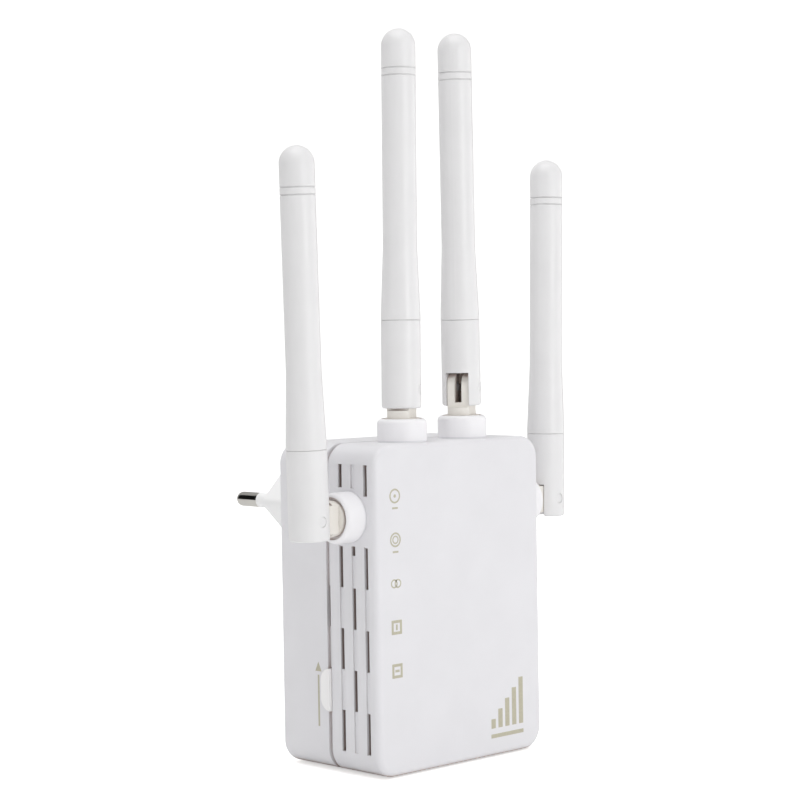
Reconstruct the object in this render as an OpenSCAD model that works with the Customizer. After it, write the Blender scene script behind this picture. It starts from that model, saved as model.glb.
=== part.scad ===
// Wall-plug wifi range extender: a box of two shells on a two-pin plug, with four jointed antennas.
// +Z is up, the front faces -Y and +X is to the right of someone looking at the front.
// The origin is on the plug's end face, midway between the two pins. All sizes are millimetres.

/* [Housing] */
// Width of the box
body_w = 70.6; // [68:0.2:74]
// Height of the box
body_h = 98; // [96:0.5:102]
// Depth of the box, without the plug
body_d = 43.4; // [42:0.2:46]
// Radius of the four corners seen from the front
corner_r = 6.7; // [6:0.1:8]
// Rounding of the edge around the front face
front_edge_r = 1.8; // [1:0.1:2]
// Rounding of the edge around the rear face
rear_edge_r = 2.4; // [1:0.1:2.8]
// Thickness of the shells
wall = 2; // [1.8:0.1:2.2]
// Depth of the front shell, which sets where the seam runs
seam_depth = 20.9; // [20.8:0.1:21.2]
// Width of the groove between the shells
seam_gap = 1.6; // [1.4:0.1:1.7]

/* [Side vents] */
// Width of a vent groove
vent_w = 1.6; // [1.4:0.1:1.8]
// Depth of a groove where it does not pass through the shell
groove_depth = 0.4; // [0.3:0.1:0.9]
// Spacing of the vent columns
vent_pitch = 5.4; // [5.2:0.1:5.5]
// Height of one row of slots
vent_row_h = 12.2; // [11.8:0.1:12.3]
// Height of the lowest row above the bottom
vent_bottom = 6.9; // [6.5:0.1:7.2]
// Plain band kept below and above the side collars, from their middle
collar_band = 8.6; // [8.4:0.1:9]

/* [Plug] */
// Spacing of the two pins
pin_pitch = 19; // [19]
// Diameter of a pin
pin_d = 4.8; // [4.8]
// Length of a pin outside the plug's end face
pin_len = 19; // [19]
// Length of the insulated part of a pin
pin_sleeve_len = 8; // [7.5:0.5:11]
// Height of the pins above the bottom of the box
pin_height = 76.8; // [76:0.2:77.4]
// Depth of the plug block behind the box
plug_depth = 30; // [27:0.5:31]
// Width of the plug block between its two points
plug_w = 33.2; // [32.6:0.2:34]
// Height of the plug block
plug_h = 19; // [18:0.5:20]

/* [Antennas] */
// Distance of an antenna's centre line behind the front face
antenna_y = 11.35; // [11.2:0.05:11.5]
// Distance of the two top antennas from the middle
antenna_x = 12.95; // [12.8:0.05:13.4]
// Diameter of the collars the antennas turn in
collar_d = 15.1; // [14.6:0.1:15.2]
// Height of a collar
collar_h = 7; // [6.6:0.1:7.1]
// Distance of the fold hinge from the box
pivot_h = 15.8; // [15.7:0.1:16.4]
// Diameter of the turning neck
neck_d = 10.7; // [10.4:0.1:10.8]
// Diameter of the hinge sleeve
sleeve_d = 12; // [11.8:0.1:12.2]
// Length of the sleeve above the hinge
sleeve_top = 20.6; // [20:0.2:22]
// Length of the sleeve below the hinge
sleeve_drop = 5.8; // [5.7:0.05:5.9]
// Diameter of the antenna tube
tube_d = 10.4; // [10.2:0.1:10.6]
// Distance of the antenna tip from the hinge
antenna_len = 108.5; // [100:0.5:120]
// Angle each antenna leans towards its folding side
rest_lean = 1.3; // [0:0.1:2]
// Turn of the two top antennas about their own centre lines
rest_turn = 29; // [29:1:60]

/* [Button] */
// Height of the side button
button_h = 12.8; // [11:0.2:13]
// Width of the side button
button_w = 3.9; // [3.6:0.1:4]
// Height of the button's middle above the bottom of the box
button_z = 24.6; // [24:0.2:25]
// Distance the button stands out of the side
button_out = 0.9; // [0.6:0.1:1.2]

/* [Ports] */
// Distance between the middles of the two network ports
port_pitch = 18; // [17:0.5:20]
// Width of a network jack
jack_w = 16; // [15.8:0.1:16.2]
// Thickness of a network jack
jack_t = 13.4; // [13:0.1:13.4]
// Length of a network jack
jack_len = 21.4; // [20:0.2:22]

/* [Indicators] */
// Height of the top indicator above the bottom of the box
indicator_top = 83; // [82:0.5:83]
// Spacing of the indicators
indicator_pitch = 12.9; // [12:0.1:13]
// Distance of the indicators from the middle
indicator_x = 27.4; // [27:0.1:27.6]

/* [Hidden] */
$fn = 64;

// Small allowances between pieces
eps = 0.01;
fit_gap = 0.02;
slide_gap = 0.15;
running_gap = 0.06;
part_gap = 0.1;

// Where the housing's parts lie, from the front face and the bottom
half_w = body_w / 2;
inner_w = body_w - 2 * wall;
inner_h = body_h - 2 * wall;
inner_r = corner_r - wall;
rear_inner_y = body_d - wall;
front_rim_y = seam_depth - seam_gap / 2;
rear_rim_y = seam_depth + seam_gap / 2;
vent_seam_y = 20.5;
outer_reach = 2.3;
short_slot = 2.8;

// Overlapping rim of the rear shell inside the front shell
lip_t = 0.9;
lip_h = 3;
lip_front_y = rear_rim_y - lip_h;
post_end_y = rear_rim_y - fit_gap;
lip_w = inner_w + 2 * lip_t;
lip_hh = inner_h + 2 * lip_t;
rebate_w = lip_w + 2 * part_gap;
rebate_h = lip_hh + 2 * part_gap;

// Screws that close the housing
screw_x = 29.6;
screw_low_z = 6;
screw_high_z = body_h - 6;
screw_post_r = 2.9;
screw_hole_r = 1.2;
pilot_r = 0.97;
screw_shank_r = 0.95;
screw_head_r = 2.1;
screw_head_h = 1.5;
housing_screw_len = 12;
screw_well_r = 2.3;
screw_seat_y = seam_depth + 6;
screw_pilot_y = 6;
drive_w = 0.5;
drive_span = 2.4;
drive_depth = 0.7;

// Main board and what stands on it
board_t = 1.6;
main_y = 18.4;
main_rear_y = main_y + board_t;
main_w = 62;
main_low_z = 3;
main_high_z = 88.5;
main_notch = 5.5;
main_boss_r = 2.5;
main_boss_x = 22.5;
main_boss_low_z = 12;
main_boss_high_x = 20;
main_boss_high_z = 85.2;
main_pilot_y = 8;
board_screw_len = 7;
power_screw_len = 4.8;

// Power board in the rear shell
power_rear_y = 37.5;
power_y = power_rear_y - board_t;
power_w = 52;
power_low_z = 34;
power_high_z = 93;
power_boss_x = 22;
power_boss_low_z = 38;
power_boss_high_z = 89;
power_pilot_depth = 3.5;
isolation_w = 1.2;
isolation_z = 58;
isolation_h = 24;

// Plug block
plug_flange_t = 2;
plug_flange_w = 37;
plug_flange_h = 23;
plug_tip_r = 2;
pin_r = pin_d / 2;
pin_core_r = 1.7;
pin_head_r = 2.8;
pin_head_t = 1.4;
pin_end_y = rear_inner_y - plug_flange_t - 0.4;
sleeve_seat = 5;

// Contact springs, measured from the pins' axis
spring_t = 0.3;
spring_w = 4;
spring_drop = 7;
spring_rise = 1;
spring_foot = 5;

// Label on the rear face
label_w = 44;
label_h = 26;
label_z = 22;
label_t = 0.15;
label_recess = 0.3;

// Transformer
core_x = 11;
core_z = 48;
core_w = 17;
core_t = 5;
core_h = 16;
core_leg = 4;
core_side = 2.2;
coil_t = 13;
coil_gap = 0.2;

// Cans on the power board: radius, height, places as X and Z
bulk_r = 5;
bulk_h = 13;
bulk_spots = [[-16, 64], [-16, 75]];
output_r = 3.15;
output_h = 11;
output_spots = [[-9, 42], [-1.5, 42]];
crimp_up = 2.6;
crimp_w = 0.8;
crimp_depth = 0.3;
can_rim = 1;
can_recess = 0.15;

// Fuse and drum-shaped choke on the power board
fuse_r = 4;
fuse_h = 8;
fuse_spot = [4, 82];
choke_spot = [16, 74];
choke_r = 5;
choke_core_r = 3.2;
choke_h = 9;
choke_cheek = 1.5;

// Flat parts, each as middle X, lowest Z and size
rectifier = [-16, 50, [4.4, 2.2, 2.8]];
switcher = [-8, 52, [4, 1.6, 5]];
coupler = [-2, 68, [6.5, 2, 5]];
resistors = [[-1, 50.5, [2, 1, 1.4]], [-1, 54, [2, 1, 1.4]]];
radio_chip = [4, 46, [12, 1.2, 12]];
memory_chip = [-15.5, 40, [10, 1.1, 8]];
regulator = [-12, 28, [5.2, 1.7, 5.2]];
port_transformers = [[-9, 12, [12, 2.2, 9]], [9, 12, [12, 2.2, 9]]];

// Lead between the two boards
lead_x = 14;
lead_pitch = 2.4;
lead_plug = [6, 6, 5];
lead_power_z = 38;
lead_main_z = 30;
lead_r = 0.6;
lead_straight = 1.5;

// Contacts of the network jacks
contact_pitch = 1.02;
contact_w = 0.4;
contact_t = 0.35;
comb_w = 0.6;
comb_depth = 1.6;
comb_z = 2;
comb_len = 12;

// Network jacks: opening for the plug and the two steps for its latch
jack_low_z = 0.4;
jack_depth = 14;
opening_y = 4.2;
opening_t = 7;
opening_w = 11.9;
latch_y = 2.7;
latch_w = 6.2;
latch_tip_y = 1.2;
latch_tip_w = 3.4;
latch_t = 2;

// Light guide behind the face, whose wall is thinner over each indicator
pipe_w = 3.6;
thin_face = 0.8;
pipe_y = 1;
pipe_rear_gap = 0.3;
guide_bar_y = 6;
guide_bar_t = 2;
led_t = 0.7;
led_w = 1.6;

// Coax sockets on the main board
socket_r = 1.5;
socket_h = 1.4;
socket_bore_r = 0.8;
socket_bore = 0.8;

// Cooling of the main chip
chip_x = 4;
chip_z = 52;
can_w = 26;
can_h = 28;
can_t = 3;
can_wall = 0.25;
pad_t = 0.5;
sink_w = 20;
sink_t = 5.5;
sink_base = 1.3;
fin_pitch = 3.9;
fin_gap = 2.6;

// Depth to which a collar's root runs into the shell
collar_root = 0.5;

// Antenna details, from the fold hinge
neck_r = neck_d / 2;
tongue_t = 6.8;
tongue_r = 4.2;
tongue_slot = 2.2;
shoulder_z = -6.3;
flat_end_z = -(pivot_h - collar_h - 0.2);
wall_inner_z = -(pivot_h + wall);
snap_r = neck_r + 0.7;
mouth_gap = 0.9;
mouth_depth = 0.8;
snap_h = 2;
snap_slot = 1.6;
coax_bore_r = 1.1;
coax_r = 0.65;
cable_start = 1.3;
cable_clear = 2.5;
cable_drop = 3.1;
feed_r = 0.9;
feed_bore_r = 1.5;
feed_low = 0.8;
dipole_low = 34;
dipole_high = 60;
dipole_r = 2.3;
dipole_wall = 0.4;
dipole_cap = 1;
dipole_wire_r = 0.6;
dipole_top = 88;
hinge_pin_r = 1.5;
hinge_pin_in = 1.15;
hinge_pin_out = 5.7;
fork_gap = tongue_t / 2 + slide_gap;
fork_back = 4.4;
fork_top = 4.4;
spigot_r = 4.5;
spigot_low = 12;
spigot_wall = 1;
tube_wall = 1.1;
flare_low = sleeve_top + 1.5;
flare_top = 43;
joint_line = 0.15;
collar_edge = 1.5;
sleeve_edge = 0.8;
ring_low = antenna_len - 14.4;
ring_high = antenna_len - 12.2;
ring_w = 0.35;
ring_depth = 0.25;

// Button and switch
button_y = front_rim_y + slide_gap;
button_gap = 0.12;
stem_w = 2;
stem_h = 3;
flange_t = 0.8;
flange_grow = 0.9;
plunger_r = 0.9;
plunger_len = 1.6;
plunger_bore = 2.4;
switch_h = 3.6;
switch_w = 6;
plunger_tip_x = -(main_w / 2 - 1.6 + 0.4);
switch_back_x = -(main_w / 2 - 5.1);
switch_front_x = -(main_w / 2 - 1.6);
button_back_x = -(half_w - wall - 0.15);
switch_mid_y = main_rear_y + 2;

// Order of the four antennas in the lists below
LEFT = 0;
TOP_LEFT = 1;
TOP_RIGHT = 2;
RIGHT = 3;

// Fold hinge of each antenna, measured from the front face, the middle and the bottom
pivots = [
    [-(half_w + pivot_h), antenna_y, pin_height],
    [-antenna_x, antenna_y, body_h + pivot_h],
    [antenna_x, antenna_y, body_h + pivot_h],
    [half_w + pivot_h, antenna_y, pin_height]
];
// Where each pigtail plugs into the main board, as X and Z
sockets = [[-20, 68], [-9, 76], [9, 76], [24, 66]];
// Turn that takes a neck built upright, folding towards +X, to its place
neck_turns = [
    [0, -90, 0],
    [0, 0, rest_turn],
    [0, 0, rest_turn + 180],
    [0, -90, 180]
];
// How far each antenna is folded as it stands
folds = [90 - rest_lean, rest_lean, rest_lean, 90 - rest_lean];

// Colours
shell_color = [0.92, 0.92, 0.93];
label_color = [0.85, 0.85, 0.86];
neck_color = [0.9, 0.89, 0.86];
metal_color = [0.8, 0.8, 0.78];
brass_color = [0.8, 0.66, 0.35];
board_color = [0.1, 0.35, 0.18];
dark_color = [0.12, 0.12, 0.13];
clear_color = [0.85, 0.9, 0.92];
film_color = [0.12, 0.16, 0.3];
fuse_color = [0.15, 0.3, 0.2];
tape_color = [0.85, 0.72, 0.2];
nylon_color = [0.93, 0.93, 0.9];
wire_color = [0.7, 0.1, 0.1];
cable_color = [0.2, 0.2, 0.22];
pad_color = [0.35, 0.55, 0.75];
sink_color = [0.7, 0.71, 0.73];
led_color = [0.95, 0.93, 0.75];
jack_color = [0.75, 0.76, 0.78];

// ---------- shared shapes ----------

// Puts a shape measured from the front face and the bottom into the row's own frame
module in_housing() {
    translate([0, -(plug_depth + body_d), -pin_height]) children();
}

// Box with its middle on X, its nearest face at y and its lowest face at z
module box_at(x, y, z, size) {
    translate([x - size[0] / 2, y, z]) cube(size);
}

// Round bar along +Y
module bar_y(x, y, z, r, length) {
    translate([x, y, z]) rotate([-90, 0, 0]) cylinder(r = r, h = length);
}

// Section through the block's full height, with both front corners rounded
module slab_section(height, depth, edge_r) {
    translate([edge_r, 0]) square([height - 2 * edge_r, depth]);
    translate([0, edge_r]) square([height, depth - edge_r]);
    for (x = [edge_r, height - edge_r]) {
        translate([x, edge_r]) circle(edge_r);
    }
}

// Section from a corner's centre to its outside, with the front corner rounded
module corner_section(radius, depth, edge_r) {
    square([radius - edge_r, depth]);
    translate([0, edge_r]) square([radius, depth - edge_r]);
    translate([radius - edge_r, edge_r]) circle(edge_r);
}

// Block with round corners, and a rounded edge around its face at y = 0
module soft_block(width, height, radius, depth, edge_r) {
    side_x = width / 2 - radius;
    translate([side_x, 0, 0]) rotate([0, -90, 0])
        linear_extrude(width - 2 * radius) slab_section(height, depth, edge_r);
    for (flip = [0, 1]) {
        mirror([flip, 0, 0]) translate([side_x, 0, radius])
            linear_extrude(height - 2 * radius) corner_section(radius, depth, edge_r);
    }
    for (corner = [[1, 0, 0], [-1, 0, 90], [-1, 1, 180], [1, 1, 270]]) {
        translate([corner[0] * side_x, 0, corner[1] == 0 ? radius : height - radius])
            rotate([0, corner[2], 0]) rotate([-90, 0, 0])
                rotate_extrude(angle = 90) corner_section(radius, depth, edge_r);
    }
}

// Outline with round corners, its middle on X and its bottom at 0
module round_outline(width, height, radius) {
    translate([-(width / 2 - radius), 0]) square([width - 2 * radius, height]);
    translate([-width / 2, radius]) square([width, height - 2 * radius]);
    for (x = [-1, 1], y = [radius, height - radius]) {
        translate([x * (width / 2 - radius), y]) circle(radius);
    }
}

// Straight-sided block with round corners from y0 to y1, its bottom at z
module plain_block(width, height, radius, y0, y1, z) {
    translate([0, y1, z]) rotate([90, 0, 0])
        linear_extrude(y1 - y0) round_outline(width, height, radius);
}

// Slot cut into the right side from outside, its middle at y, from z0 to z1
module side_slot(y, z0, z1, width, depth) {
    translate([half_w - depth, y - width / 2, z0]) cube([depth + 1, width, z1 - z0]);
}

// Round wire through a list of points, a little swollen at its bends
module wire(points, radius) {
    bend_r = 1.08 * radius;
    for (i = [0:len(points) - 2]) {
        run = points[i + 1] - points[i];
        translate(points[i])
            rotate([0, acos(run[2] / norm(run)), atan2(run[1], run[0])])
                cylinder(r = radius, h = norm(run), $fn = 24);
    }
    for (i = [1:len(points) - 2]) {
        translate(points[i]) sphere(bend_r, $fn = 24);
    }
}

// Puts a shape built around the hinge, upright and folding towards +X, on one antenna's neck
module on_neck(which) {
    in_housing() translate(pivots[which]) rotate(neck_turns[which]) children();
}

// The same, turned with the antenna as it stands
module on_antenna(which) {
    on_neck(which) rotate([0, folds[which], 0]) children();
}

// ---------- vents ----------

function row_z(row) = vent_bottom + vent_row_h * row;

// Middle of a vent column, counted from the seam
function column_y(column) = vent_seam_y - column * vent_pitch;

// Groove of one column on the right side, down to the given depth
module column_cut(column, z0, z1, depth) {
    side_slot(column_y(column), z0, z1, vent_w, depth);
}

// Grooves and slots of the three columns in the front shell, on the right side
module vent_columns() {
    band_low = pin_height - collar_band;
    band_high = pin_height + collar_band;
    for (column = [1:3]) {
        top_start = column == 3 ? band_high - outer_reach : band_high;
        column_cut(column, row_z(0), band_low, groove_depth);
        column_cut(column, top_start, row_z(7), column == 2 ? groove_depth : wall + 1);
    }
    for (column = [1, 3], row = [0, 2, 4]) {
        column_cut(column, row_z(row), row_z(row + 1), wall + 1);
    }
    for (row = [1, 3]) {
        column_cut(2, row_z(row), row_z(row + 1), wall + 1);
    }
    column_cut(2, band_low - short_slot, band_low, wall + 1);
}

// Openings in the rim under the seam groove, on the right side
module seam_slots(rows) {
    for (row = rows) {
        side_slot(seam_depth, row_z(row), row_z(row + 1), seam_gap - 2 * part_gap, wall + 1);
    }
}

// Both sides' openings: the button takes the place of the lower one on the left
module both_seam_slots() {
    seam_slots([1, 3]);
    mirror([1, 0, 0]) seam_slots([3]);
}

// ---------- housing ----------

// Outside of one collar, standing on z = 0
module collar_blank() {
    flat_r = collar_d / 2 - collar_edge;
    flat_z = collar_h - collar_edge;
    rotate_extrude() {
        square([flat_r, collar_h]);
        translate([0, -collar_root]) square([collar_d / 2, flat_z + collar_root]);
        translate([flat_r, flat_z]) circle(collar_edge);
    }
}

// Puts a shape built along +Z from the face of the box at each antenna
module at_collars() {
    for (which = [LEFT, TOP_LEFT, TOP_RIGHT, RIGHT]) {
        translate(pivots[which]) rotate(neck_turns[which])
            translate([0, 0, -pivot_h]) children();
    }
}

// Round post from the inside of the front face
module front_post(x, z, r, end_y) {
    bar_y(x, wall - eps, z, r, end_y - wall + eps);
}

module front_shell() {
    color(shell_color) in_housing() difference() {
        union() {
            difference() {
                soft_block(body_w, body_h, corner_r, front_rim_y, front_edge_r);
                plain_block(inner_w, inner_h, inner_r, wall, front_rim_y + 1, wall);
                plain_block(rebate_w, rebate_h, inner_r + lip_t,
                    lip_front_y - part_gap, front_rim_y + 1, (body_h - rebate_h) / 2);
            }
            at_collars() collar_blank();
            for (x = [-1, 1]) {
                front_post(x * screw_x, screw_low_z, screw_post_r, post_end_y);
                front_post(x * screw_x, screw_high_z, screw_post_r, post_end_y);
                front_post(x * main_boss_x, main_boss_low_z, main_boss_r, main_y);
                front_post(x * main_boss_high_x, main_boss_high_z, main_boss_r, main_y);
            }
        }
        at_collars() {
            translate([0, 0, -wall - 1])
                cylinder(r = neck_r + running_gap, h = collar_h + wall + 2);
            translate([0, 0, collar_h - mouth_depth])
                cylinder(r = neck_r + mouth_gap, h = mouth_depth + 1);
        }
        for (x = [-1, 1]) {
            bar_y(x * screw_x, screw_pilot_y, screw_low_z, pilot_r, seam_depth);
            bar_y(x * screw_x, screw_pilot_y, screw_high_z, pilot_r, seam_depth);
            bar_y(x * main_boss_x, main_pilot_y, main_boss_low_z, pilot_r, main_y);
            bar_y(x * main_boss_high_x, main_pilot_y, main_boss_high_z, pilot_r, main_y);
        }
        vent_columns();
        mirror([1, 0, 0]) vent_columns();
        for (x = [-1, 1]) {
            box_at(x * port_pitch / 2, main_y - jack_t - slide_gap, -1,
                [jack_w + 2 * slide_gap, jack_t + slide_gap, wall + 2]);
        }
        for (i = [0:4]) {
            box_at(-indicator_x, thin_face, indicator_z(i) - pipe_w / 2 - slide_gap,
                [pipe_w + 2 * slide_gap, wall, pipe_w + 2 * slide_gap]);
        }
    }
}

// Outline of the plug block in X and Z, grown by an allowance
module plug_outline(grow) {
    reach = plug_w / 2 + grow * sqrt(2);
    half_h = plug_h / 2 + grow;
    tip = plug_tip_r / sqrt(2);
    polygon([
        [reach - tip, tip], [reach - half_h, half_h], [half_h - reach, half_h], [tip - reach, tip],
        [tip - reach, -tip], [half_h - reach, -half_h], [reach - half_h, -half_h], [reach - tip, -tip]
    ]);
    for (side = [-1, 1]) {
        translate([side * (reach - plug_tip_r * sqrt(2)), 0]) circle(plug_tip_r);
    }
}

// Plug outline drawn out along Y from y0 to y1
module plug_prism(y0, y1, grow) {
    translate([0, y1, pin_height]) rotate([90, 0, 0])
        linear_extrude(y1 - y0) plug_outline(grow);
}

// Outline of the button in Y and Z: flat along the seam and round behind
module button_outline(grow) {
    half = button_h / 2 + grow;
    r = button_w + grow;
    translate([-grow, -(half - r)]) square([r + grow, 2 * (half - r)]);
    for (side = [0, 1]) {
        mirror([0, side]) intersection() {
            translate([0, half - r]) circle(r);
            translate([-grow, half - r]) square([r + grow, r]);
        }
    }
}

// Button outline drawn out along X from x0 to x1
module button_prism(x0, x1, grow) {
    translate([x0, button_y, button_z]) rotate([90, 0, 90])
        linear_extrude(x1 - x0) button_outline(grow);
}

module rear_shell() {
    color(shell_color) in_housing() difference() {
        union() {
            difference() {
                translate([0, body_d, 0]) mirror([0, 1, 0])
                    soft_block(body_w, body_h, corner_r, body_d - rear_rim_y, rear_edge_r);
                plain_block(inner_w, inner_h, inner_r, rear_rim_y - 1, rear_inner_y, wall);
            }
            difference() {
                plain_block(lip_w, lip_hh, inner_r + lip_t, lip_front_y,
                    rear_rim_y + eps, (body_h - lip_hh) / 2);
                plain_block(inner_w, inner_h, inner_r, lip_front_y - 1,
                    rear_rim_y + 1, wall);
                for (x = [-1, 1], z = [screw_low_z, screw_high_z]) {
                    bar_y(x * screw_x, lip_front_y - 1, z, screw_post_r + part_gap, lip_h + 1);
                }
                box_at(-half_w, lip_front_y - 1, button_z - button_h / 2 - button_gap,
                    [2 * wall + 1, lip_h + 2, button_h + 2 * button_gap]);
            }
            for (x = [-1, 1], z = [screw_low_z, screw_high_z]) {
                bar_y(x * screw_x, rear_rim_y, z, screw_post_r, rear_inner_y - rear_rim_y + eps);
            }
            for (x = [-1, 1], z = [power_boss_low_z, power_boss_high_z]) {
                bar_y(x * power_boss_x, power_rear_y, z, main_boss_r, rear_inner_y - power_rear_y + eps);
            }
        }
        for (x = [-1, 1], z = [screw_low_z, screw_high_z]) {
            bar_y(x * screw_x, seam_depth - 1, z, screw_hole_r, body_d);
            bar_y(x * screw_x, screw_seat_y, z, screw_well_r, body_d);
        }
        for (x = [-1, 1], z = [power_boss_low_z, power_boss_high_z]) {
            bar_y(x * power_boss_x, power_rear_y - 1, z, pilot_r, power_pilot_depth + 1);
        }
        plug_prism(rear_inner_y - 1, body_d + 1, part_gap);
        button_prism(-half_w - 2, -half_w + wall + 1, button_gap);
        both_seam_slots();
        box_at(0, body_d - label_recess, label_z, [label_w, 1, label_h]);
    }
}

// Blank sticker under the plug
module rating_label() {
    color(label_color) in_housing()
        box_at(0, body_d - label_recess + fit_gap, label_z + part_gap,
            [label_w - 2 * part_gap, label_t, label_h - 2 * part_gap]);
}

// Pan-head screw along +Y: the point first, the head's seat at y
module screw_y(x, y, z, length) {
    bar_y(x, y - length, z, screw_shank_r, length);
    difference() {
        bar_y(x, y, z, screw_head_r, screw_head_h);
        for (turn = [0, 90]) {
            translate([x, y + screw_head_h - drive_depth, z]) rotate([0, turn, 0])
                translate([-drive_span / 2, 0, -drive_w / 2]) cube([drive_span, 1, drive_w]);
        }
    }
}

module housing_screws() {
    color(metal_color) in_housing() {
        for (x = [-1, 1], z = [screw_low_z, screw_high_z]) {
            screw_y(x * screw_x, screw_seat_y + fit_gap, z, housing_screw_len);
        }
    }
}

// ---------- plug ----------

module plug_block() {
    color(shell_color) in_housing() difference() {
        union() {
            plug_prism(rear_inner_y - plug_flange_t + eps, body_d + plug_depth, 0);
            box_at(0, rear_inner_y - plug_flange_t, pin_height - plug_flange_h / 2,
                [plug_flange_w, plug_flange_t - fit_gap, plug_flange_h]);
        }
        for (x = [-1, 1] * pin_pitch / 2) {
            bar_y(x, pin_end_y, pin_height, pin_core_r + fit_gap, plug_depth + body_d);
            bar_y(x, pin_end_y, pin_height, pin_head_r + fit_gap, pin_head_t + fit_gap);
            bar_y(x, body_d + plug_depth - sleeve_seat, pin_height, pin_r + fit_gap, sleeve_seat + 1);
        }
    }
}

module plug_pins() {
    sleeve_end = body_d + plug_depth + pin_sleeve_len;
    tip_y = body_d + plug_depth + pin_len;
    color(metal_color) in_housing() for (x = [-1, 1] * pin_pitch / 2) {
        rotate_profile_y(x, pin_height) {
            translate([0, pin_end_y]) square([pin_head_r, pin_head_t]);
            translate([0, pin_end_y]) square([pin_core_r, sleeve_end - pin_end_y + 1]);
            translate([0, sleeve_end]) square([pin_r, tip_y - pin_r - sleeve_end]);
            intersection() {
                translate([0, tip_y - pin_r]) circle(pin_r);
                translate([0, tip_y - pin_r]) square(pin_r);
            }
        }
    }
}

// Turns a profile drawn as radius and Y about an axis along Y
module rotate_profile_y(x, z) {
    translate([x, 0, z]) rotate([-90, 0, 0]) rotate_extrude() children();
}

module plug_sleeves() {
    color(shell_color) in_housing() for (x = [-1, 1] * pin_pitch / 2) {
        difference() {
            bar_y(x, body_d + plug_depth - sleeve_seat + fit_gap, pin_height, pin_r,
                sleeve_seat + pin_sleeve_len - 2 * fit_gap);
            bar_y(x, body_d, pin_height, pin_core_r + fit_gap, plug_depth + pin_len);
        }
    }
}

// Bent leaves that carry the mains from the pins' inner ends to the power board
module contact_springs() {
    reach_y = pin_end_y - fit_gap;
    bend_z = pin_height - spring_drop;
    color(brass_color) in_housing() for (x = [-1, 1] * pin_pitch / 2) {
        box_at(x, power_rear_y, bend_z - spring_foot, [spring_w, spring_t, spring_foot]);
        box_at(x, power_rear_y, bend_z - spring_t, [spring_w, reach_y - power_rear_y, spring_t]);
        box_at(x, reach_y - spring_t, bend_z - spring_t,
            [spring_w, spring_t, spring_drop + spring_rise + spring_t]);
    }
}

// ---------- power supply ----------

module power_board() {
    color(board_color) in_housing() difference() {
        box_at(0, power_y, power_low_z, [power_w, board_t, power_high_z - power_low_z]);
        for (x = [-1, 1], z = [power_boss_low_z, power_boss_high_z]) {
            bar_y(x * power_boss_x, power_y - 1, z, screw_hole_r, board_t + 2);
        }
        box_at(0, power_y - 1, isolation_z, [isolation_w, board_t + 2, isolation_h]);
    }
}

module transformer_core() {
    window_w = (core_w - core_leg - 2 * core_side) / 2;
    color(dark_color) in_housing() difference() {
        box_at(core_x, power_y - (coil_t + core_t) / 2 - part_gap, core_z, [core_w, core_t, core_h]);
        for (side = [-1, 1]) {
            box_at(core_x + side * (core_leg + window_w) / 2, power_y - coil_t, core_z + core_side,
                [window_w, coil_t, core_h - 2 * core_side]);
        }
    }
}

module transformer_coil() {
    color(tape_color) in_housing() difference() {
        box_at(core_x, power_y - coil_t - part_gap, core_z + core_side + coil_gap,
            [core_w - 2 * core_side - 2 * coil_gap, coil_t, core_h - 2 * core_side - 2 * coil_gap]);
        box_at(core_x, power_y - (coil_t + core_t) / 2 - part_gap - coil_gap, core_z,
            [core_leg + 2 * coil_gap, core_t + 2 * coil_gap, core_h]);
    }
}

// Can standing on the power board, towards the front, with a crimp and a recessed top
module can_capacitor(spot, r, height) {
    top_y = power_y - height - part_gap;
    crimp_y = power_y - crimp_up;
    difference() {
        bar_y(spot[0], top_y, spot[1], r, height);
        difference() {
            bar_y(spot[0], crimp_y, spot[1], r + 1, crimp_w);
            bar_y(spot[0], crimp_y - 1, spot[1], r - crimp_depth, crimp_w + 2);
        }
        bar_y(spot[0], top_y - 1, spot[1], r - can_rim, can_recess + 1);
    }
}

module bulk_capacitors() {
    color(film_color) in_housing() for (spot = bulk_spots) {
        can_capacitor(spot, bulk_r, bulk_h);
    }
}

module output_capacitors() {
    color(film_color) in_housing() for (spot = output_spots) {
        can_capacitor(spot, output_r, output_h);
    }
}

module mains_fuse() {
    color(fuse_color) in_housing()
        bar_y(fuse_spot[0], power_y - fuse_h - part_gap, fuse_spot[1], fuse_r, fuse_h);
}

module choke() {
    x = choke_spot[0];
    z = choke_spot[1];
    low_y = power_y - choke_h - part_gap;
    color(dark_color) in_housing() {
        bar_y(x, low_y, z, choke_r, choke_cheek);
        bar_y(x, low_y + choke_cheek - eps, z, choke_core_r, choke_h - 2 * choke_cheek + 2 * eps);
        bar_y(x, power_y - choke_cheek - part_gap, z, choke_r, choke_cheek);
    }
}

// Flat part standing on the front of a board whose front is at y
module chip_on(y, part) {
    box_at(part[0], y - part[2][1] - part_gap, part[1], part[2]);
}

module power_chips() {
    color(dark_color) in_housing() for (part = concat([rectifier, switcher, coupler], resistors)) {
        chip_on(power_y, part);
    }
}

// Plug-in ends of the lead between the two boards
module dc_connectors() {
    color(nylon_color) in_housing() {
        chip_on(power_y, [lead_x, lead_power_z, lead_plug]);
        box_at(lead_x, main_rear_y + part_gap, lead_main_z, lead_plug);
    }
}

module dc_wires() {
    main_end = main_rear_y + lead_plug[1] + 2 * part_gap;
    power_end = power_y - lead_plug[1] - 2 * part_gap;
    half_plug = lead_plug[2] / 2;
    color(wire_color) in_housing() for (side = [-1, 1]) {
        x = lead_x + side * lead_pitch / 2;
        wire([
            [x, main_end, lead_main_z + half_plug],
            [x, main_end + lead_straight, lead_main_z + half_plug],
            [x, power_end - lead_straight, lead_power_z + half_plug],
            [x, power_end, lead_power_z + half_plug]
        ], lead_r);
    }
}

// ---------- main board ----------

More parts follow.
